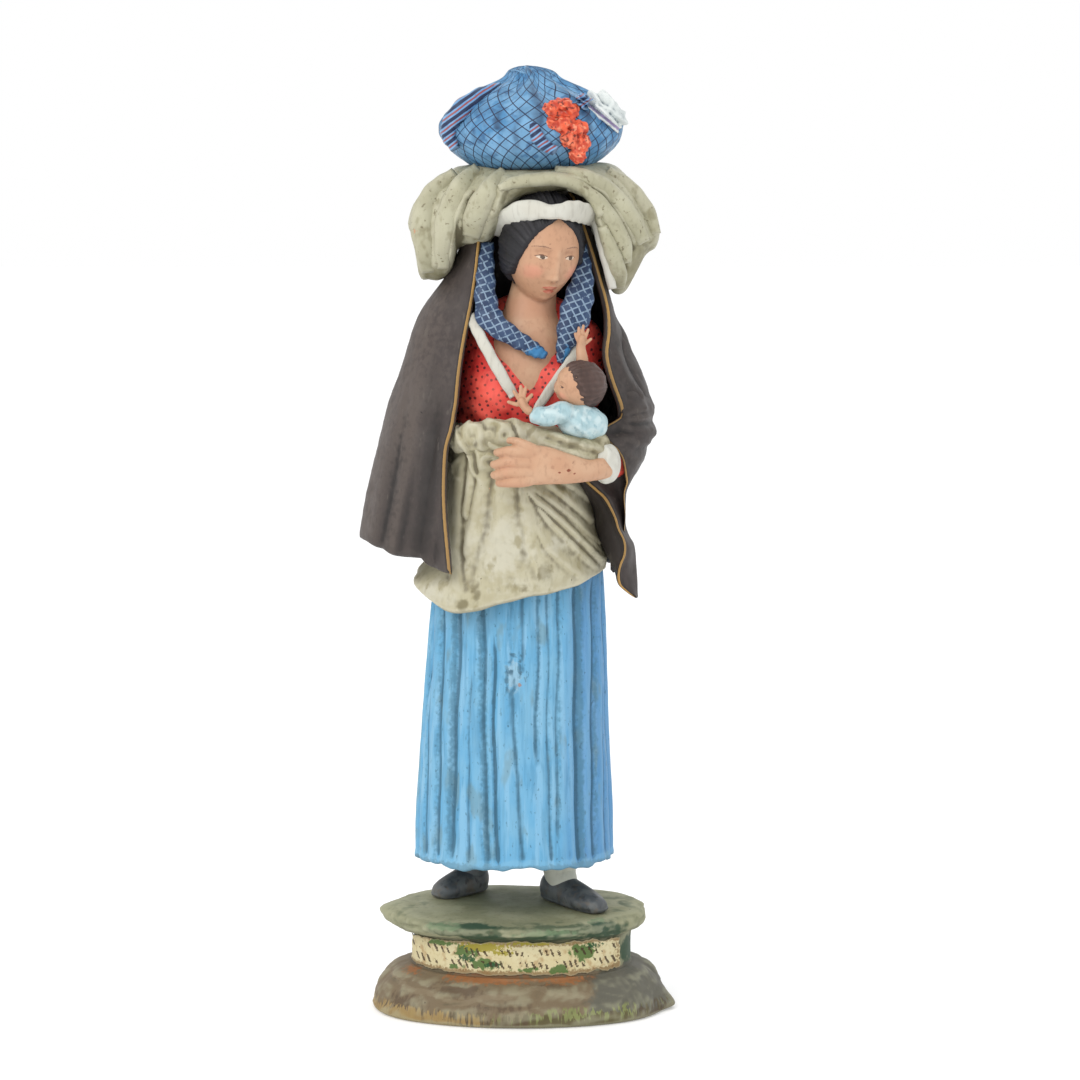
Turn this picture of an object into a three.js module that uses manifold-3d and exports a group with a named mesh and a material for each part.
import * as THREE from 'three';
import { LoftGeometry } from 'three/addons/geometries/LoftGeometry.js';
import { mergeVertices } from 'three/addons/utils/BufferGeometryUtils.js';
import Module from 'manifold-3d';

// A painted terracotta figurine, about 294 mm tall, on a ground of its own with a glued paper label.
// Millimetres, +Z up. The figure faces -Y, and +X is at the viewer's right.
// The origin is the middle of the flat underside.

// The heights in the figure's tables start at a level this far under the ground line.
const FIGURE_DATUM = 3;

// Gap kept between pieces that touch.
const CONTACT_GAP = 0.3;

// Ground base. Columns: height, half width in X, reach to the front, reach to the back, roughness,
// fall to the front.
const MOUND_STATIONS = [
  [0, 45.6, 35, 34, 0.4, 0],
  [1.4, 46.6, 36.2, 35.2, 0.6, 0],
  [5.2, 45.2, 35.4, 34.6, 0.9, 0],
  [9, 43.4, 34, 33.2, 1.2, 0.02],
  [12.6, 40.6, 31.6, 31.2, 1.1, 0.04],
  [14.4, 35.8, 28.4, 27.6, 0.2, 0.02],
];
const NECK_HALF_WIDTH = 34.2;
const NECK_FRONT = 27;
const NECK_BACK = 26;
const NECK_BOTTOM = 15;
const NECK_TOP = 24;
const NECK_BOTTOM_FALL = 0.01;
const NECK_TOP_FALL = -0.05;
// Slab on the neck: its rim swings out to a tip at the left, and its underside rises to the front.
const SLAB_STATIONS = [
  [25.2, 37.4, 29.6, 28, 0.8, -0.05],
  [27.4, 39.6, 31.4, 29.6, 1.3, -0.02],
  [30.6, 40.2, 30.6, 28.6, 1.6, 0.03],
];
// Its top is a plane that falls towards the front, where the shoes stand.
const SLAB_TOP_HEIGHT = 33.1;
const SLAB_TOP_FALL = 0.09;
const SLAB_TOP_RING = [33.1, 35.4, 25, 18.4, 0.8, 0.09];
const SLAB_CENTRE_X = -1.6;
// Pointed tips of the outline. Columns: direction in radians from the front, width, reach.
const MOUND_CENTRE_X = -0.6;
const MOUND_TIP = [Math.PI / 2 - 0.1, 0.12, 2.2];
const SLAB_TIP = [-Math.PI / 2 - 0.05, 0.2, 3.2];
const NO_TIP = [0, 1, 0];
// Waves of the rock line round the base. Columns: waves in a turn, change with height, start, share.
const ROCK_WAVES = [
  [3, 0.06, 0.7, 0.4],
  [7, -0.11, 2.1, 0.35],
];
const ROCK_CRAG = [6.5, 0.2, 0.6, 0.6];
const BASE_SQUARENESS = 0.92;
const BASE_SIDES = 40;

// Paper label: a strip on the front of the neck.
const LABEL_THICKNESS = 0.5;
const LABEL_BOTTOM = 15.8;
const LABEL_TOP = 23.8;
const LABEL_FIRST_SIDE = 11;
const LABEL_LAST_SIDE = 27;
const LABEL_TORN_EDGE = 0.6;
const LABEL_TEAR_RATE_LOW = 2.3;
const LABEL_TEAR_RATE_HIGH = 1.7;

// Skirt. Columns: height, left, right, front, back, depth of the pleats.
const SKIRT_STATIONS = [
  [50.5, -34.2, 29, -27.4, 24.4, 2.4],
  [66, -33.7, 28.7, -26.8, 23.8, 2.3],
  [95, -31.9, 27.2, -25.6, 22.6, 2],
  [125, -29.4, 26.4, -24.2, 21.2, 1.5],
  [150, -27, 25, -22, 19.5, 0.7],
];
const SKIRT_PLEATS = 23;
const SKIRT_ROWS = 4;
const SKIRT_POINTS_PER_PLEAT = 3;
const SKIRT_GIRTH = 28;
// How far the pleats stray from an even spacing. Columns: size, rate, start.
const PLEAT_DRIFT = [
  [0.1, 31, 0],
  [0.06, 57, 1],
];
const PLEAT_SWAY = 0.03;
const PLEAT_STRENGTH = [0.75, 0.45, 40, 1.3];

// Cloak over the torso. Columns: height, left, right, left front edge (x, y), right front edge (x, y),
// back, front of the body between the two edges.
const CLOAK_STATIONS = [
  [139, -49.5, 33.5, -21, -31, 27.5, -25, 28.5, -22],
  [148, -50.6, 32.6, -21.4, -31, 27, -24, 28.5, -22],
  [160, -49.2, 31.6, -22, -30, 26.4, -23, 28, -21],
  [172, -46.8, 33.5, -22.4, -29, 27.5, -21, 27, -21],
  [181, -44.6, 39.8, -22.2, -28, 31.5, -15, 26, -21],
  [187, -43, 41.6, -20.6, -27, 35.2, -13, 25.4, -21.6],
  [194, -41, 40, -19.2, -26, 33, -16, 25, -22],
  [202, -38, 37, -18.2, -24.5, 28.6, -20, 24.4, -21.4],
  [209, -35.8, 33.6, -17.2, -22.5, 27, -19, 23.6, -19.6],
  [216, -33.6, 31.2, -16.2, -20.5, 27.6, -14, 22.6, -16.6],
  [223, -30.4, 28.4, -15.2, -18.5, 26.4, -12, 21.6, -9],
  [232, -23.6, 26, -14.2, -15.5, 24, -12.5, 20, 3],
  [242, -19, 23.2, -13, -12.5, 21, -12, 18.6, 5],
  [260, -15, 18.5, -10, -7, 14.5, -7, 16, 5],
];
const CLOAK_HEM = 141;
const CLOAK_HEM_LIFT = 7.5;
const CLOAK_HEM_LIFT_PLACE = 0.2;
const CLOAK_HEM_LIFT_WIDTH = 0.11;
const CLOAK_EDGE_THICKNESS = 2.4;
const CLOAK_OUTER_POINTS = 36;
const CLOAK_INNER_POINTS = 8;
const CLOAK_ROWS = 10;
const CLOAK_FOLD_DEPTH = 2.3;
const CLOAK_FOLDS = 11;
const CLOAK_FOLD_WANDER = 0.8;
const CLOAK_SMALL_FOLD = 0.35;
const CLOAK_SQUARENESS = 0.94;
const CLOAK_EDGE_SHARE = 0.07;
// The folds are full below the first height and nearly gone above the second.
const CLOAK_FOLD_HEIGHTS = [150, 235];
const CLOAK_TAIL_TOP = 172;
const CLOAK_TAIL_THICKNESS = 3.6;

// Apron, tied up in front. Columns: height, left, right, front.
const APRON_STATIONS = [
  [130, -36.4, 28.4, -30],
  [139, -33.4, 27.4, -30.4],
  [150, -29.4, 25.4, -30.6],
  [162, -26.4, 23.4, -30.4],
  [172, -24.4, 21.6, -30.6],
  [180, -23, 20, -31],
  [186.5, -20.5, 15, -29.5],
];
const APRON_HEM_LOW = 130.4;
const APRON_HEM_LOW_X = -23;
const APRON_HEM_RISE_RIGHT = 0.19;
const APRON_HEM_RISE_LEFT = 0.42;
const APRON_FRONT_POINTS = 34;
const APRON_ROWS = 7;
const APRON_SQUARENESS = 0.9;
// The cloth reaches round from the left hip to the right hip, in radians from the front.
const APRON_REACH = [-1.75, 1.32];
const APRON_BACK = 14;
// Folds that fan out from under the hand. Columns: top x, top z, bottom x, bottom z, width, height.
const APRON_FOLDS = [
  [-19, 184, -22, 134, 2.4, 1.4],
  [-13.5, 186, -15, 150, 1.9, 1.5],
  [-9, 186, -10, 133, 2.4, 1.4],
  [-3, 178, -3, 134, 3, 1.1],
  [0, 172, 9, 136, 2.6, 1.3],
  [3.5, 171, 19, 137.5, 2.4, 1.7],
  [7, 171, 26, 143, 2.2, 1.9],
];

// Head of the woman: centre, half sizes and the way it is turned.
const HEAD_CENTRE = [6, -14.5, 241.5];
const HEAD_HALF = [11.4, 14, 16.6];
const HEAD_YAW = 24;
const HEAD_PITCH = 15;
const HEAD_ROLL = -5;
const HAIR_THICKNESS = 1.1;
// Bumps of the face, as shares of its half size. Columns: across, up, half width, half height, rise in mm.
const FACE_BUMPS = [
  [0, -0.12, 0.09, 0.2, 1.2],
  [0, -0.28, 0.12, 0.09, 2.2],
  [0, 0.14, 0.55, 0.1, 0.5],
  [-0.33, -0.02, 0.16, 0.1, -0.9],
  [0.33, -0.02, 0.16, 0.1, -0.9],
  [0, -0.52, 0.2, 0.07, 0.9],
  [0, -0.85, 0.25, 0.14, 1.3],
];
const JAW_NARROWING = 3.2;

// Folded cloth on the head. Columns: x, top, bottom, front, back.
const LOAD_CLOTH_STATIONS = [
  [-35.2, 247, 239, -4, 6],
  [-33, 252.6, 233, -9, 11],
  [-29, 258, 230.6, -13, 15],
  [-24.5, 261.6, 231, -16, 17],
  [-19, 264, 236.5, -18.5, 18.5],
  [-13, 265.6, 241, -20.5, 19.5],
  [-7, 266.2, 247.5, -22, 20],
  [0, 266, 255, -23, 20],
  [8, 266, 257, -23, 20],
  [15, 266.6, 255, -22.5, 20],
  [20, 267, 249, -21.5, 19.5],
  [25, 266.6, 233, -19.5, 18.5],
  [29.5, 264, 226.5, -17.5, 17],
  [34, 259.5, 229, -14.5, 14.5],
  [38.5, 254, 236, -11, 11.5],
  [42.6, 248.6, 241, -6, 7],
];
const LOAD_CLOTH_SIDES = 18;
const LOAD_CLOTH_ROWS = 17;
const LOAD_CLOTH_SQUARENESS = 0.85;
const LOAD_CLOTH_PLUMPNESS = 0.7;
// Diagonal folds in its hanging ends. Columns: top x, top z, bottom x, bottom z, width, height.
const LOAD_CLOTH_FOLDS = [
  [-21, 262, -30, 236, 1.8, 1.6],
  [-10, 262, -17, 242, 2.2, 2.2],
  [-3, 262, 8, 259.5, 2, 1],
  [19, 263, 31, 232, 1.8, 1.7],
  [24, 264, 36, 240, 1.8, 1.5],
];

// Knotted bundle. Columns: height, left, right, front, back.
const BUNDLE_STATIONS = [
  [263.5, -11, 17, -13, 13],
  [266, -15.5, 21.5, -18, 18],
  [270, -21, 26.8, -22.5, 21.5],
  [274.5, -24.6, 30.6, -24.5, 23.5],
  [278.5, -25.4, 31.8, -24, 23.5],
  [282.5, -22.4, 30.8, -21.5, 21.5],
  [286, -18.6, 27.2, -17.5, 18],
  [289.4, -13, 19.6, -12.5, 13],
  [292.4, -6.2, 12.2, -7.5, 8],
  [294.6, -4.6, 9.6, -5.5, 6],
  [296.8, -3.2, 6.4, -3, 3.5],
];
const BUNDLE_SIDES = 25;
const BUNDLE_FOLDS = 9;
const BUNDLE_FOLD_DEPTH = 1.5;
const BUNDLE_GIRTH = 22;
const BUNDLE_SQUARENESS = 0.95;
// The folds grow from nothing at the first height to their full depth at the second.
const BUNDLE_GATHER_HEIGHTS = [268, 292];
const CLUSTER_LUMPS = 5;
const CLUSTER_LUMP_HALF = [4.2, 4.4, 4.2];

// How limbs close at their ends, how strips bulge, and how folds widen and fade.
const LIMB_END_LENGTH = 0.75;
const LIMB_END_SIZE = 0.12;
const RIBBON_CROWN = 0.25;
const FOLD_WIDTHS = [0.7, 1.4];
const FOLD_FADE = 6;

const wasm = await Module();
wasm.setup();

// Turns a closed three.js geometry into a solid that can be joined.
function toSolid(geometry) {
  const bare = new THREE.BufferGeometry();
  bare.setAttribute('position', geometry.attributes.position);
  bare.setIndex(geometry.index);
  const welded = mergeVertices(bare, 1e-4);
  const corners = welded.index.array;
  const kept = [];
  for (let i = 0; i < corners.length; i += 3) {
    const [a, b, c] = [corners[i], corners[i + 1], corners[i + 2]];
    if (a !== b && b !== c && c !== a) {
      kept.push(a, b, c);
    }
  }
  const mesh = new wasm.Mesh({
    numProp: 3,
    vertProperties: new Float32Array(welded.attributes.position.array),
    triVerts: new Uint32Array(kept),
  });
  return new wasm.Manifold(mesh);
}

// Turns a joined solid back into a geometry for one mesh.
function toGeometry(solid) {
  const mesh = solid.getMesh();
  const geometry = new THREE.BufferGeometry();
  geometry.setAttribute('position', new THREE.BufferAttribute(new Float32Array(mesh.vertProperties), 3));
  geometry.setIndex(new THREE.BufferAttribute(new Uint32Array(mesh.triVerts), 1));
  geometry.computeVertexNormals();
  return geometry;
}

// Joins a list of solids into one.
function join(solids) {
  let whole = solids[0];
  for (const next of solids.slice(1)) {
    whole = whole.add(next);
  }
  return whole;
}

// Reads a table of stations at any place along its first column, along a smooth curve.
function readStations(table, place) {
  const last = table.length - 1;
  const at = Math.min(Math.max(place, table[0][0]), table[last][0]);
  let row = 0;
  while (row < last - 1 && at > table[row + 1][0]) {
    row += 1;
  }
  const [before, from, to, after] = [row - 1, row, row + 1, row + 2].map(
    (index) => table[Math.min(Math.max(index, 0), last)],
  );
  const span = to[0] - from[0];
  const t = (at - from[0]) / span;
  return from.slice(1).map((start, index) => {
    const column = index + 1;
    const end = to[column];
    const slopeIn = ((end - before[column]) / (to[0] - before[0])) * span;
    const slopeOut = ((after[column] - start) / (after[0] - from[0])) * span;
    const curve = 2 * start - 2 * end + slopeIn + slopeOut;
    const bend = 3 * end - 3 * start - 2 * slopeIn - slopeOut;
    return start + t * (slopeIn + t * (bend + t * curve));
  });
}

// Blends from one value to another.
function mix(from, to, t) {
  return from + (to - from) * t;
}

// A step from 0 to 1 with soft ends.
function softStep(low, high, value) {
  const t = Math.min(Math.max((value - low) / (high - low), 0), 1);
  return t * t * (3 - 2 * t);
}

// A power that keeps the sign, for rounded-square outlines.
function signedPower(value, power) {
  return Math.sign(value) * Math.abs(value) ** power;
}

// A point of an outline given by its reach to the left, right, front and back. Angle 0 is the front (-Y),
// and a quarter turn on is the right (+X), so the points run counter-clockwise seen from above.
function outlinePoint(left, right, front, back, angle, squareness) {
  const middle = (left + right) / 2;
  const halfWidth = (right - left) / 2;
  const across = signedPower(Math.sin(angle), squareness);
  const deep = signedPower(Math.cos(angle), squareness);
  return [middle + halfWidth * across, deep > 0 ? front * deep : -back * deep];
}

// The height at a place of a fold that runs between two points of the front view.
function foldHeight([topX, topZ, bottomX, bottomZ, width, height], x, z) {
  const t = Math.min(Math.max((topZ - z) / (topZ - bottomZ), 0), 1);
  const away = (x - mix(topX, bottomX, t)) / (width * mix(...FOLD_WIDTHS, t));
  const beyond = softStep(0, FOLD_FADE, z - topZ) + softStep(0, FOLD_FADE, bottomZ - z);
  return height * Math.exp(-away * away) * Math.max(0, 1 - beyond);
}

// The height at a place of the highest of several folds.
function highestFold(folds, x, z) {
  return Math.max(0, ...folds.map((fold) => foldHeight(fold, x, z)));
}

// The middle of a ring of points.
function ringMiddle(ring) {
  const sum = ring.reduce((total, point) => total.add(point), new THREE.Vector3());
  return sum.divideScalar(ring.length);
}

// The direction round which a ring of points turns counter-clockwise.
function ringDirection(ring) {
  const middle = ringMiddle(ring);
  const direction = new THREE.Vector3();
  ring.forEach((point, index) => {
    const next = ring[(index + 1) % ring.length];
    direction.add(point.clone().sub(middle).cross(next.clone().sub(middle)));
  });
  return direction;
}

// A closed body through rings of points, with its faces outwards whichever way the rings turn.
// Each end closes in a fan on the middle of its ring.
function loftSolid(sections) {
  const onwards = ringMiddle(sections[1]).sub(ringMiddle(sections[0]));
  const backwards = ringDirection(sections[0]).dot(onwards) < 0;
  const rings = backwards ? sections.map((ring) => [...ring].reverse()) : sections;
  const closing = (ring) => ring.map(() => ringMiddle(ring));
  const closed = [closing(rings[0]), ...rings, closing(rings[rings.length - 1])];
  return toSolid(new LoftGeometry(closed));
}

// A round limb along points, with its half sizes at each: across, and along the second direction.
// Each entry is [x, y, z, half width, half height].
function limbSolid(stations, sides, rows, flatDirection = new THREE.Vector3(0, 0, 1)) {
  const path = new THREE.CatmullRomCurve3(stations.map(([x, y, z]) => new THREE.Vector3(x, y, z)));
  const sizes = stations.map(([, , , wide, high], index) => [index, wide, high]);
  const sections = [];
  for (let row = 0; row <= rows; row += 1) {
    const t = row / rows;
    const centre = path.getPoint(t);
    const ahead = path.getTangent(t);
    const side = new THREE.Vector3().crossVectors(ahead, flatDirection).normalize();
    const up = new THREE.Vector3().crossVectors(side, ahead).normalize();
    const [wide, high] = readStations(sizes, t * (stations.length - 1));
    const fromEnd = Math.min(t, 1 - t) * rows;
    const roundEnd = Math.sqrt(Math.min(1, fromEnd * LIMB_END_LENGTH + LIMB_END_SIZE));
    const ring = [];
    for (let i = 0; i < sides; i += 1) {
      const angle = (i / sides) * Math.PI * 2;
      const point = centre.clone();
      point.addScaledVector(side, Math.cos(angle) * wide * roundEnd);
      point.addScaledVector(up, Math.sin(angle) * high * roundEnd);
      ring.push(point);
    }
    sections.push(ring);
  }
  return loftSolid(sections);
}

// A sheet of even thickness on a surface given by two numbers from 0 to 1.
function sheetSolid(surface, across, along, thickness) {
  const sections = [];
  const step = 1e-3;
  for (let row = 0; row <= along; row += 1) {
    const v = row / along;
    const outer = [];
    const inner = [];
    for (let i = 0; i <= across; i += 1) {
      const u = i / across;
      const point = surface(u, v);
      const alongU = surface(Math.min(u + step, 1), v).sub(surface(Math.max(u - step, 0), v));
      const alongV = surface(u, Math.min(v + step, 1)).sub(surface(u, Math.max(v - step, 0)));
      const normal = new THREE.Vector3().crossVectors(alongU, alongV).normalize();
      outer.push(point);
      inner.unshift(point.clone().addScaledVector(normal, -thickness));
    }
    sections.push([...outer, ...inner]);
  }
  return loftSolid(sections);
}

// A strip that lies along points, between two half widths, as a sheet. Its face looks to the viewer.
function ribbonSolid(stations, thickness, across, along) {
  const path = new THREE.CatmullRomCurve3(stations.map(([x, y, z]) => new THREE.Vector3(x, y, z)));
  const widths = stations.map(([, , , half], index) => [index, half]);
  const surface = (u, v) => {
    const centre = path.getPoint(v);
    const ahead = path.getTangent(v);
    const side = new THREE.Vector3().crossVectors(new THREE.Vector3(0, -1, 0), ahead).normalize();
    const [half] = readStations(widths, v * (stations.length - 1));
    const offset = mix(1, -1, u) * half;
    const crown = (1 - (offset / half) ** 2) * RIBBON_CROWN * half;
    return centre.addScaledVector(side, offset).add(new THREE.Vector3(0, -crown, 0));
  };
  return sheetSolid(surface, across, along, thickness);
}

// A ball with half sizes, shaped by a function of its direction, then turned and placed.
function ballSolid(halfSizes, centre, turn, shape, around, high) {
  const geometry = new THREE.SphereGeometry(1, around, high);
  const position = geometry.attributes.position;
  const point = new THREE.Vector3();
  for (let i = 0; i < position.count; i += 1) {
    point.fromBufferAttribute(position, i);
    point.set(point.x, -point.z, point.y);
    const reach = shape(point);
    point.multiply(new THREE.Vector3(...halfSizes)).add(reach);
    point.applyEuler(turn).add(new THREE.Vector3(...centre));
    position.setXYZ(i, point.x, point.y, point.z);
  }
  return toSolid(geometry);
}

// A turn given in degrees about X, Y and Z.
function degrees(x, y, z) {
  const toRadians = THREE.MathUtils.degToRad;
  return new THREE.Euler(toRadians(x), toRadians(y), toRadians(z), 'ZXY');
}

// The uneven rock line round the base, as a part of 1.
function rockLine(angle, height) {
  const [rate, climb, level, size] = ROCK_CRAG;
  let line = size * (Math.abs(Math.sin(angle * rate + height * climb)) - level);
  for (const [waves, change, start, share] of ROCK_WAVES) {
    line += share * Math.sin(angle * waves + height * change + start);
  }
  return line;
}

// A bump of the outline towards one side, such as the pointed tip at the right of the mound.
function tipReach(angle, place, width, reach) {
  const away = Math.atan2(Math.sin(angle - place), Math.cos(angle - place)) / width;
  return reach * Math.exp(-away * away);
}

// One ring of the base: a rounded outline with its rock line, that falls towards the front.
function baseRing([height, halfWidth, front, back, rough, fall], centreX, tip) {
  const ring = [];
  for (let i = 0; i < BASE_SIDES; i += 1) {
    const angle = (i / BASE_SIDES) * Math.PI * 2 + Math.PI;
    const [x, y] = outlinePoint(-halfWidth, halfWidth, -front, back, angle, BASE_SQUARENESS);
    const reach = rough * rockLine(angle, height) + tipReach(angle, ...tip);
    const grown = 1 + reach / Math.hypot(x, y);
    ring.push(new THREE.Vector3(centreX + x * grown, y * grown, height + fall * y * grown));
  }
  return ring;
}

// The height of the slab's top at a distance from the middle.
function slabTopAt(y) {
  return SLAB_TOP_HEIGHT + SLAB_TOP_FALL * y;
}

// The base: mound, neck and slab in one body with an uneven outline.
function groundBase() {
  const [moundDirection, moundWidth, moundReach] = MOUND_TIP;
  const [slabDirection, slabWidth, slabReach] = SLAB_TIP;
  const mound = MOUND_STATIONS.map((station) => {
    const low = 1 - softStep(2, 9, station[0]);
    return baseRing(station, MOUND_CENTRE_X, [moundDirection, moundWidth, moundReach * low]);
  });
  const neckLevels = [
    [NECK_BOTTOM, NECK_BOTTOM_FALL],
    [NECK_TOP, NECK_TOP_FALL],
  ];
  const neck = neckLevels.map(([height, fall]) =>
    baseRing([height, NECK_HALF_WIDTH, NECK_FRONT, NECK_BACK, 0, fall], 0, NO_TIP),
  );
  const slab = SLAB_STATIONS.map((station) => {
    const high = softStep(24, 31, station[0]);
    return baseRing(station, SLAB_CENTRE_X, [slabDirection, slabWidth, slabReach * high]);
  });
  const top = baseRing(SLAB_TOP_RING, SLAB_CENTRE_X, NO_TIP);
  for (const point of top) {
    point.z = slabTopAt(point.y);
  }
  return loftSolid([...mound, ...neck, ...slab, top]);
}

// The label: a strip one contact gap off the neck, with torn upper and lower edges.
function paperLabel() {
  const ringAt = (offset) => {
    const station = [0, NECK_HALF_WIDTH + offset, NECK_FRONT + offset, NECK_BACK + offset, 0, 0];
    return baseRing(station, 0, NO_TIP);
  };
  const inner = ringAt(CONTACT_GAP);
  const outer = ringAt(CONTACT_GAP + LABEL_THICKNESS);
  const sections = [];
  for (let side = LABEL_FIRST_SIDE; side <= LABEL_LAST_SIDE; side += 1) {
    const index = side % BASE_SIDES;
    const { y } = outer[index];
    const tear = (rate) => LABEL_TORN_EDGE * Math.abs(Math.sin(side * rate));
    const low = LABEL_BOTTOM + NECK_BOTTOM_FALL * y + tear(LABEL_TEAR_RATE_LOW);
    const high = LABEL_TOP + NECK_TOP_FALL * y - tear(LABEL_TEAR_RATE_HIGH);
    const corner = (point, height) => new THREE.Vector3(point.x, point.y, height);
    sections.push([
      corner(inner[index], low),
      corner(outer[index], low),
      corner(outer[index], high),
      corner(inner[index], high),
    ]);
  }
  return loftSolid(sections);
}

// The skirt, with pleats of uneven width all round.
function skirt() {
  const points = SKIRT_PLEATS * SKIRT_POINTS_PER_PLEAT;
  const [strengthMiddle, strengthChange, strengthRate, strengthStart] = PLEAT_STRENGTH;
  const sections = [];
  const bottom = SKIRT_STATIONS[0][0];
  const top = SKIRT_STATIONS[SKIRT_STATIONS.length - 1][0];
  for (let row = 0; row <= SKIRT_ROWS; row += 1) {
    const height = mix(bottom, top, row / SKIRT_ROWS);
    const [left, right, front, back, depth] = readStations(SKIRT_STATIONS, height);
    const ring = [];
    for (let i = 0; i < points; i += 1) {
      const share = i / points;
      const sway = PLEAT_SWAY * Math.sin(height * 0.06 + share * 20);
      let angle = share * Math.PI * 2 + sway;
      for (const [drift, rate, start] of PLEAT_DRIFT) {
        angle += drift * Math.sin(share * rate + start);
      }
      const pleat = 1 - Math.abs(Math.sin(share * Math.PI * SKIRT_PLEATS));
      const strength = strengthMiddle + strengthChange * Math.sin(share * strengthRate + strengthStart);
      const [x, y] = outlinePoint(left, right, front, back, angle, 1);
      const shrink = 1 - (depth * pleat * strength) / SKIRT_GIRTH;
      ring.push(new THREE.Vector3(x * shrink, y * shrink, height));
    }
    sections.push(ring);
  }
  return loftSolid(sections);
}

// The height of the cloak's hem by the place round it (0 left edge, 1 right edge): it lifts at the left side.
function cloakHem(share) {
  const away = (share - CLOAK_HEM_LIFT_PLACE) / CLOAK_HEM_LIFT_WIDTH;
  return CLOAK_HEM + CLOAK_HEM_LIFT * Math.exp(-away * away);
}

// A long fold of the cloak, sharp in its groove and round on its back.
function cloakFold(share, height) {
  const drop = 1 - softStep(...CLOAK_FOLD_HEIGHTS, height);
  const wander = CLOAK_FOLD_WANDER * Math.sin(share * 9 + height * 0.01);
  const phase = share * Math.PI * CLOAK_FOLDS + wander;
  const groove = 1 - Math.abs(Math.sin(phase));
  const small = CLOAK_SMALL_FOLD * Math.sin(phase * 2.3 + 1);
  return -CLOAK_FOLD_DEPTH * mix(0.25, 1, drop) * (groove + small * drop);
}

// The outer face of the cloak, from its left front edge (share 0) round the back to its right one.
function cloakOuterPoint(share, height) {
  const [left, right, leftX, leftY, rightX, rightY, back] = readStations(CLOAK_STATIONS, height);
  const middle = (left + right) / 2;
  const half = (right - left) / 2;
  const limit = 0.97;
  const leftAngle = Math.asin(Math.max(-limit, (leftX - middle) / half));
  const rightAngle = Math.asin(Math.min(limit, (rightX - middle) / half));
  const angle = mix(leftAngle + Math.PI * 2, rightAngle, share);
  const frontLeft = leftY / Math.cos(leftAngle);
  const frontRight = rightY / Math.cos(rightAngle);
  const front = angle > Math.PI ? frontLeft : frontRight;
  const [x, y] = outlinePoint(left, right, front, back, angle, CLOAK_SQUARENESS);
  const edge = softStep(0, CLOAK_EDGE_SHARE, share) * softStep(0, CLOAK_EDGE_SHARE, 1 - share);
  const size = Math.hypot(x - middle, y);
  const grown = 1 + (cloakFold(share, height) * edge) / size;
  return new THREE.Vector3(middle + (x - middle) * grown, y * grown, height);
}

// The body between the cloak's front edges: hollow round the head, then chest and waist.
function cloakInnerPoint(share, height) {
  const [, , leftX, leftY, rightX, rightY, , inner] = readStations(CLOAK_STATIONS, height);
  const x = mix(rightX, leftX, share);
  const edgeY = mix(rightY, leftY, share) + CLOAK_EDGE_THICKNESS;
  const side = Math.abs(share * 2 - 1) ** 3;
  return new THREE.Vector3(x, mix(inner, edgeY, side), height);
}

// The cloak and the body in it, in one closed shape.
function cloakAndBody() {
  const top = CLOAK_STATIONS[CLOAK_STATIONS.length - 1][0];
  const sections = [];
  for (let row = 0; row <= CLOAK_ROWS; row += 1) {
    const rise = row / CLOAK_ROWS;
    const ring = [];
    for (let i = 0; i <= CLOAK_INNER_POINTS; i += 1) {
      const share = i / CLOAK_INNER_POINTS;
      ring.push(cloakInnerPoint(share, mix(CLOAK_HEM, top, rise)));
    }
    for (let i = 0; i <= CLOAK_OUTER_POINTS; i += 1) {
      const share = i / CLOAK_OUTER_POINTS;
      ring.push(cloakOuterPoint(share, mix(cloakHem(share), top, rise)));
    }
    sections.push(ring);
  }
  return loftSolid(sections);
}

// The elbow, thrown out at the right under the cloak, and the fold of the cloth that falls from it.
function cloakElbow() {
  const upper = limbSolid(
    [
      [24, 2, 210, 8, 8],
      [31, 0, 200, 9, 9],
      [35, -3, 190.5, 8, 8.4],
      [34.4, -8, 184, 7.4, 7.4],
      [31.5, -17, 178.5, 6, 6.6],
    ],
    10,
    5,
  );
  const fold = limbSolid(
    [
      [36.6, 5, 194, 3, 3],
      [38.8, 1, 187, 4, 4.4],
      [36.6, -5, 177, 4, 5],
      [33, -11, 167, 3, 4],
    ],
    7,
    4,
  );
  return [upper, fold];
}

// The front corner of the cloak that hangs below the right forearm.
function cloakTail() {
  const surface = (u, v) => {
    const hem = mix(CLOAK_HEM, 131.5, u);
    const innerEdge = mix(21.5, 30, v ** 0.9);
    const outerEdge = mix(32, 36, v);
    const ripple = 1.2 * Math.sin(u * 6.5 + v * 1.5);
    const depth = mix(-29, -21, u) + ripple + v * 3;
    return new THREE.Vector3(mix(innerEdge, outerEdge, u), depth, mix(CLOAK_TAIL_TOP, hem, v));
  };
  return sheetSolid((u, v) => surface(u, 1 - v), 5, 5, CLOAK_TAIL_THICKNESS);
}

// How far the hem of the apron is from level: lowest near the left, rising to both sides.
function apronHem(x) {
  const away = x - APRON_HEM_LOW_X;
  const rise = away > 0 ? APRON_HEM_RISE_RIGHT * away : -APRON_HEM_RISE_LEFT * away;
  return APRON_HEM_LOW + rise;
}

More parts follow.
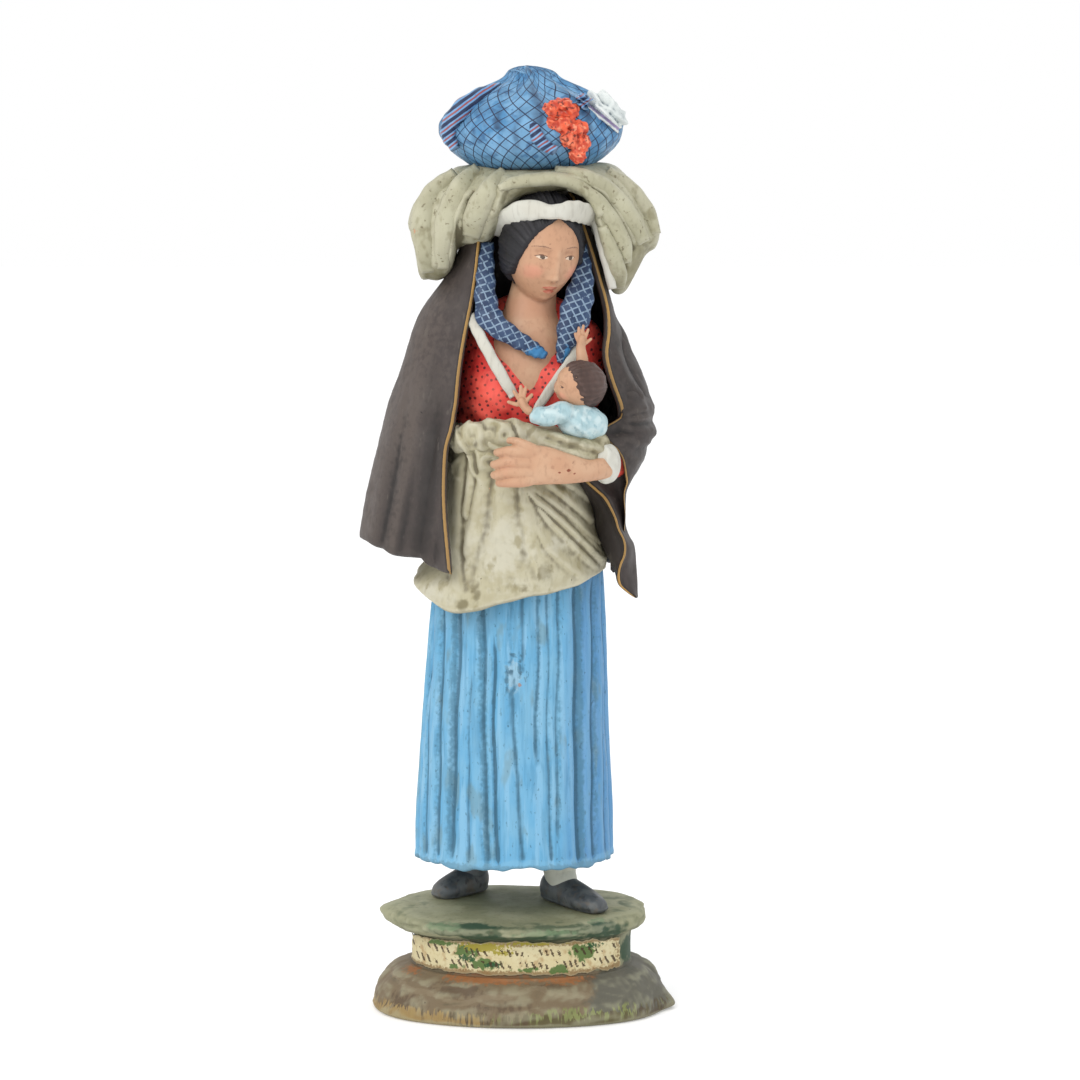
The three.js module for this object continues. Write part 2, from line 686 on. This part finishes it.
// The apron: its front and sides with their folds, closed by a plain back inside the skirt.
function apron() {
  const top = APRON_STATIONS[APRON_STATIONS.length - 1][0];
  const [, hemLeft, hemRight, hemFront] = APRON_STATIONS[0];
  const sections = [];
  for (let row = 0; row <= APRON_ROWS; row += 1) {
    const ring = [];
    for (let i = 0; i <= APRON_FRONT_POINTS; i += 1) {
      const angle = mix(...APRON_REACH, i / APRON_FRONT_POINTS);
      const [hemX] = outlinePoint(hemLeft, hemRight, hemFront, APRON_BACK, angle, APRON_SQUARENESS);
      const height = mix(apronHem(hemX), top, row / APRON_ROWS);
      const [left, right, front] = readStations(APRON_STATIONS, height);
      const [x, y] = outlinePoint(left, right, front, APRON_BACK, angle, APRON_SQUARENESS);
      const grown = 1 + highestFold(APRON_FOLDS, x, height) / Math.hypot(x, y);
      ring.push(new THREE.Vector3(x * grown, y * grown, height));
    }
    const first = ring[0];
    const last = ring[ring.length - 1];
    ring.push(new THREE.Vector3(last.x * 0.6, 4, last.z));
    ring.push(new THREE.Vector3(0, 5, (first.z + last.z) / 2));
    ring.push(new THREE.Vector3(first.x * 0.6, 6, first.z));
    sections.push(ring);
  }
  return loftSolid(sections);
}

// The gathered top of the apron, and the swag that carries the child.
function apronGathers() {
  return limbSolid(
    [
      [-20, -23, 181.5, 2.5, 3.5],
      [-15, -27.5, 185, 3, 4],
      [-7, -29.5, 187, 3.2, 3.8],
      [1, -31, 187.4, 3, 3.4],
      [7, -33, 185.5, 3, 3.6],
      [14, -35, 181, 3.4, 4.4],
      [21, -33, 179.5, 3.4, 4.6],
      [26, -28, 183, 3, 4],
    ],
    8,
    10,
  );
}

// The face: plain proportions, with the eyes half way down the head and the nose in the middle.
function faceRelief(direction) {
  const front = softStep(0.3, 0.85, -direction.y);
  const jaw = softStep(0.1, 1, -direction.z);
  let forward = 0;
  for (const [x, z, wide, high, rise] of FACE_BUMPS) {
    const away = ((direction.x - x) / wide) ** 2 + ((direction.z - z) / high) ** 2;
    forward += front * rise * Math.exp(-away);
  }
  return new THREE.Vector3(-direction.x * jaw * JAW_NARROWING, -forward, -0.4 * jaw);
}

function headTurn() {
  return degrees(HEAD_PITCH, HEAD_ROLL, HEAD_YAW);
}

// The hair: a thin cap that stands off the head outside the oval of the face.
function hairShape(direction) {
  const oval = (direction.x / 0.74) ** 2 + ((direction.z + 0.3) / 0.98) ** 2;
  const parting = 0.12 * Math.exp(-((direction.x / 0.16) ** 2));
  const inFace = direction.y < 0 ? 1 - softStep(0.8 + parting, 1 + parting, oval) : 0;
  const stand = mix(HAIR_THICKNESS, -1.6, inFace);
  const below = softStep(0.45, 0.9, -direction.z) * 3;
  return direction.clone().multiplyScalar(stand - below);
}

// The head with its hair, on the neck.
function headAndNeck() {
  const head = ballSolid(HEAD_HALF, HEAD_CENTRE, headTurn(), faceRelief, 17, 13);
  const hair = ballSolid(HEAD_HALF, HEAD_CENTRE, headTurn(), hairShape, 13, 10);
  const neck = limbSolid(
    [
      [5, -9.6, 236, 7.4, 7.4],
      [3.6, -9.4, 228, 7.4, 7.2],
      [2.6, -9.4, 221, 8.4, 7.8],
      [2.4, -9.6, 210, 12, 10.5],
    ],
    10,
    4,
    new THREE.Vector3(0, 1, 0),
  );
  return [head, hair, neck];
}

// The white scarf: a band over the brow with a notch, and one end that hangs at the right.
function headScarf() {
  const band = ribbonSolid(
    [
      [-6.6, -14, 247.6, 2],
      [-4.2, -21, 249.6, 2.5],
      [2, -27.5, 251.6, 2.8],
      [9.4, -30.6, 251, 1.8],
      [16, -27.5, 251.8, 2.8],
      [21.6, -20, 250, 2.6],
      [23.6, -12, 247.4, 2],
    ],
    3.4,
    2,
    10,
  );
  const end = ribbonSolid(
    [
      [21, -17, 251, 1.8],
      [23.6, -18, 244, 2.2],
      [25.6, -17.6, 236, 2.2],
      [27.4, -15, 228, 1.6],
    ],
    2.4,
    2,
    4,
  );
  return [band, end];
}

// The plaid kerchief round the neck: a left band that crosses the chest, and a right band.
function kerchief() {
  const leftBand = ribbonSolid(
    [
      [-10.4, -12, 241, 2.6],
      [-11, -16.5, 231, 3.8],
      [-9.8, -20, 222, 4.6],
      [-4.2, -22.6, 215.4, 3.8],
      [2.4, -23.6, 210.6, 2.9],
      [7, -23, 207.6, 1.5],
    ],
    4,
    2,
    8,
  );
  const rightBand = ribbonSolid(
    [
      [18.2, -12.5, 240, 2.2],
      [19.6, -17, 231, 4.4],
      [18.4, -20.4, 221, 5.6],
      [14.6, -22.4, 212.6, 4],
      [11.4, -22.8, 206, 1.3],
    ],
    4,
    2,
    6,
  );
  return [leftBand, rightBand];
}

// The chemise collar: two strips that meet in a V on the chest.
function chemiseCollar() {
  const leftStrip = ribbonSolid(
    [
      [-13.6, -19, 219.5, 1.7],
      [-9.6, -22.4, 210, 1.9],
      [-3.6, -24.4, 200.5, 1.9],
      [2.6, -25, 194, 1.6],
    ],
    2.4,
    2,
    5,
  );
  const rightStrip = ribbonSolid(
    [
      [18.4, -20.5, 213, 1.6],
      [15, -23, 205, 1.8],
      [10, -25, 197.5, 1.8],
      [6, -25.4, 193, 1.4],
    ],
    2.4,
    2,
    4,
  );
  return [leftStrip, rightStrip];
}

// The bust under the jacket.
function bust() {
  const plain = () => new THREE.Vector3();
  return [
    ballSolid([9.4, 7.4, 10.5], [-7.6, -17.2, 198], degrees(8, 0, -12), plain, 10, 7),
    ballSolid([9, 7.2, 10], [12.4, -16.8, 199], degrees(8, 0, 12), plain, 10, 7),
  ];
}

// The child at the breast, with one hand on it and the other raised.
function child() {
  const headShape = (direction) => {
    const snub = Math.exp(-((direction.x / 0.2) ** 2) - ((direction.z + 0.15) / 0.2) ** 2);
    return new THREE.Vector3(0, direction.y < 0 ? -snub * 1.1 : 0, 0);
  };
  const head = ballSolid([6.6, 7.4, 7.4], [17.6, -31, 200.4], degrees(-10, 20, -68), headShape, 12, 9);
  const body = limbSolid(
    [
      [12, -31, 193.6, 4.6, 4.6],
      [16, -31.5, 190.6, 6.6, 6],
      [21, -29.5, 187.6, 7, 6],
      [25, -26, 185.6, 5.5, 5],
    ],
    9,
    5,
  );
  const sleeve = limbSolid(
    [
      [14, -34.5, 193.6, 3.4, 3.6],
      [8.6, -36.6, 191.6, 3.2, 3.3],
      [4, -36.4, 190.8, 2.7, 2.8],
      [1.4, -35.6, 191.6, 2.4, 2.5],
    ],
    8,
    4,
  );
  const hand = limbSolid(
    [
      [2.2, -35.4, 192, 1.4, 1.6],
      [0.4, -34.6, 194.6, 1.6, 2.2],
      [0, -33.6, 197, 1.3, 2],
    ],
    6,
    3,
    new THREE.Vector3(1, 0, 0),
  );
  const fingers = [-2.2, 0, 2.4].map((offset) =>
    limbSolid(
      [
        [offset * 0.5, -33.8, 196, 0.8, 0.8],
        [offset, -33, 199, 0.8, 0.8],
        [offset * 1.25, -32, 201.2, 0.6, 0.6],
      ],
      5,
      2,
    ),
  );
  const raisedArm = limbSolid(
    [
      [18.4, -26.5, 205, 2.6, 2.4],
      [19, -25.6, 209, 2.2, 2],
      [19.4, -25, 212, 1.5, 1.7],
      [19.8, -24.4, 215.5, 1.2, 1.9],
      [20.4, -24, 218.4, 0.8, 1],
    ],
    6,
    5,
    new THREE.Vector3(1, 0, 0),
  );
  return [head, body, sleeve, hand, ...fingers, raisedArm];
}

// The woman's forearm and the hand that holds the child.
function forearmAndHand() {
  const sleeve = limbSolid(
    [
      [36, -13, 180, 6, 6.6],
      [32, -22, 177.6, 5.6, 6.8],
      [28.6, -28, 176, 5.2, 6.8],
    ],
    10,
    3,
  );
  const cuff = limbSolid(
    [
      [30.6, -26, 176.4, 4.6, 6.2],
      [27.4, -30.4, 175.8, 4.8, 6.6],
      [24.6, -33.6, 175.6, 4.2, 5.8],
    ],
    10,
    3,
  );
  const palm = limbSolid(
    [
      [27, -31, 175.8, 3, 3.6],
      [21, -36.2, 175.6, 2.6, 3],
      [14, -39.2, 176.4, 2.8, 4.6],
      [6.5, -40.8, 176.9, 2.9, 6],
      [-0.6, -40.8, 176.8, 2.5, 6.2],
    ],
    10,
    6,
  );
  const fingerHeights = [181, 178.2, 175.2, 172.2];
  const fingers = fingerHeights.map((height, index) => {
    const reach = [0, 0.9, 0.8, -0.6][index];
    return limbSolid(
      [
        [3.5, -41.6, mix(height, 176.6, 0.15), 1.6, 1.6],
        [-1.4, -42, height, 1.7, 1.6],
        [-5 - reach, -40.2, height + 0.4, 1.6, 1.5],
        [-7.6 - reach, -36.6, height - 0.3, 1.3, 1.3],
      ],
      5,
      3,
    );
  });
  return [sleeve, cuff, palm, ...fingers];
}

// The folded cloth on the head, a thick fold that hangs down at both ends.
function loadCloth() {
  const first = LOAD_CLOTH_STATIONS[0][0];
  const last = LOAD_CLOTH_STATIONS[LOAD_CLOTH_STATIONS.length - 1][0];
  const sections = [];
  for (let row = 0; row <= LOAD_CLOTH_ROWS; row += 1) {
    const x = mix(first, last, row / LOAD_CLOTH_ROWS);
    const [top, bottom, front, back] = readStations(LOAD_CLOTH_STATIONS, x);
    const ring = [];
    for (let i = 0; i < LOAD_CLOTH_SIDES; i += 1) {
      const angle = (i / LOAD_CLOTH_SIDES) * Math.PI * 2;
      const across = signedPower(Math.cos(angle), LOAD_CLOTH_SQUARENESS);
      const up = signedPower(Math.sin(angle), LOAD_CLOTH_SQUARENESS);
      const y = mix(front, back, (across + 1) / 2);
      const z = mix(bottom, top, (up + 1) / 2);
      const plump = LOAD_CLOTH_PLUMPNESS * Math.sin(x * 0.9 + up * 2);
      const outwards = highestFold(LOAD_CLOTH_FOLDS, x, z) + plump;
      ring.push(new THREE.Vector3(x, y + across * outwards, z + up * plump * 0.4));
    }
    sections.push(ring);
  }
  return loftSolid(sections);
}

// The bundle, gathered in folds towards the knot on top.
function bundle() {
  const sections = [];
  for (const [height, left, right, front, back] of BUNDLE_STATIONS) {
    const gathered = softStep(...BUNDLE_GATHER_HEIGHTS, height);
    const ring = [];
    for (let i = 0; i < BUNDLE_SIDES; i += 1) {
      const angle = (i / BUNDLE_SIDES) * Math.PI * 2;
      const [x, y] = outlinePoint(left, right, front, back, angle, BUNDLE_SQUARENESS);
      const wave = Math.sin(angle * BUNDLE_FOLDS + 0.05 * height + Math.sin(angle * 2));
      const grown = 1 + (BUNDLE_FOLD_DEPTH * gathered * wave) / BUNDLE_GIRTH;
      ring.push(new THREE.Vector3(x * grown, y * grown, height + 0.3 * wave * gathered));
    }
    sections.push(ring);
  }
  return loftSolid(sections);
}

// The loose things of the bundle: turned-back corner, cluster in front, small knot, and white cloth.
function bundleDetails() {
  const still = () => new THREE.Vector3();
  const corner = ribbonSolid(
    [
      [-20, -17, 271.5, 2],
      [-21, -17.5, 277, 2.6],
      [-15.6, -16.5, 284, 2.8],
      [-8, -11, 289, 2],
    ],
    3.4,
    2,
    5,
  );
  const edge = ribbonSolid(
    [
      [6, -12.5, 288, 1.6],
      [5.2, -19.5, 281, 1.9],
      [7, -24, 273, 1.8],
      [12, -23.5, 268.4, 1.4],
    ],
    3,
    2,
    5,
  );
  const lumps = [];
  for (let i = 0; i < CLUSTER_LUMPS; i += 1) {
    const t = i / (CLUSTER_LUMPS - 1);
    const x = mix(9, 19.4, t) + 0.8 * Math.sin(i * 2.4);
    const z = mix(284, 271.5, t);
    const y = -16.4 - 4.6 * Math.sin(t * 2);
    lumps.push(ballSolid(CLUSTER_LUMP_HALF, [x, y, z], degrees(i * 40, i * 70, 0), still, 7, 5));
  }
  const smallKnot = ballSolid([2.4, 2.4, 2.4], [18.8, -16.6, 286], degrees(0, 0, 0), still, 6, 5);
  const whiteCloth = ballSolid([7.4, 6, 5], [24.4, -8, 283], degrees(0, 32, 0), still, 10, 6);
  const knot = ballSolid([6.4, 5, 3], [2.4, -0.5, 293.6], degrees(0, 6, 20), still, 9, 5);
  return [corner, edge, ...lumps, smallKnot, whiteCloth, knot];
}

// One shoe with its foot: a limb whose sole is cut level with the ground it stands on.
function shoe(heelX, heelY, toeX, toeY) {
  const place = (t, rise) => {
    const x = mix(heelX, toeX, t);
    const y = mix(heelY, toeY, t);
    return [x, y, slabTopAt(y) + FIGURE_DATUM + rise];
  };
  const upper = limbSolid(
    [
      [...place(0, 3.6), 3.8, 4.6],
      [...place(0.25, 3.6), 4.8, 5.6],
      [...place(0.55, 2.8), 5.4, 5],
      [...place(0.85, 1.8), 5, 3.8],
      [...place(1, 1.2), 3.8, 2.6],
    ],
    9,
    5,
  );
  const ankle = limbSolid(
    [
      [...place(0.28, 2.5), 4.6, 4.6],
      [...place(0.27, 8), 5.2, 5.2],
      [...place(0.26, 17), 5.8, 5.8],
    ],
    7,
    2,
    new THREE.Vector3(0, 1, 0),
  );
  return [upper, ankle];
}

// A block below the soles, used to trim them one contact gap above the slab.
function soleCutter() {
  const reach = 60;
  const depth = 30;
  const corners = [
    [-reach, -reach],
    [reach, -reach],
    [reach, reach],
    [-reach, reach],
  ];
  const levelAt = (y) => slabTopAt(y) + FIGURE_DATUM + CONTACT_GAP;
  const ring = (drop) => corners.map(([x, y]) => new THREE.Vector3(x, y, levelAt(y) - drop));
  return loftSolid([ring(depth), ring(0)]);
}

// Both feet: the left one turned out at the back, the right one set forward.
function feet() {
  const pair = [...shoe(-11.5, 14.5, -27, 2), ...shoe(7, 5.5, 24.6, -14.6)];
  return join(pair).subtract(soleCutter());
}

// The whole figure, joined into one solid.
function figure() {
  return join([
    skirt(),
    cloakAndBody(),
    ...cloakElbow(),
    cloakTail(),
    apron(),
    apronGathers(),
    ...bust(),
    ...headAndNeck(),
    ...headScarf(),
    ...kerchief(),
    ...chemiseCollar(),
    ...child(),
    ...forearmAndHand(),
    loadCloth(),
    bundle(),
    ...bundleDetails(),
    feet(),
  ]);
}

// A plain finish for one piece.
function finish(colour, roughness) {
  return new THREE.MeshStandardMaterial({ color: colour, roughness, metalness: 0 });
}

function namedMesh(name, solid, material) {
  const mesh = new THREE.Mesh(toGeometry(solid), material);
  mesh.name = name;
  return mesh;
}

const object = new THREE.Group();
const figureMesh = namedMesh('figure', figure(), finish(0x7db8e8, 0.75));
figureMesh.position.z = -FIGURE_DATUM;
object.add(figureMesh);
object.add(namedMesh('ground_base', groundBase(), finish(0x6a6a50, 0.85)));
object.add(namedMesh('paper_label', paperLabel(), finish(0xe8d3a8, 0.9)));

export default object;
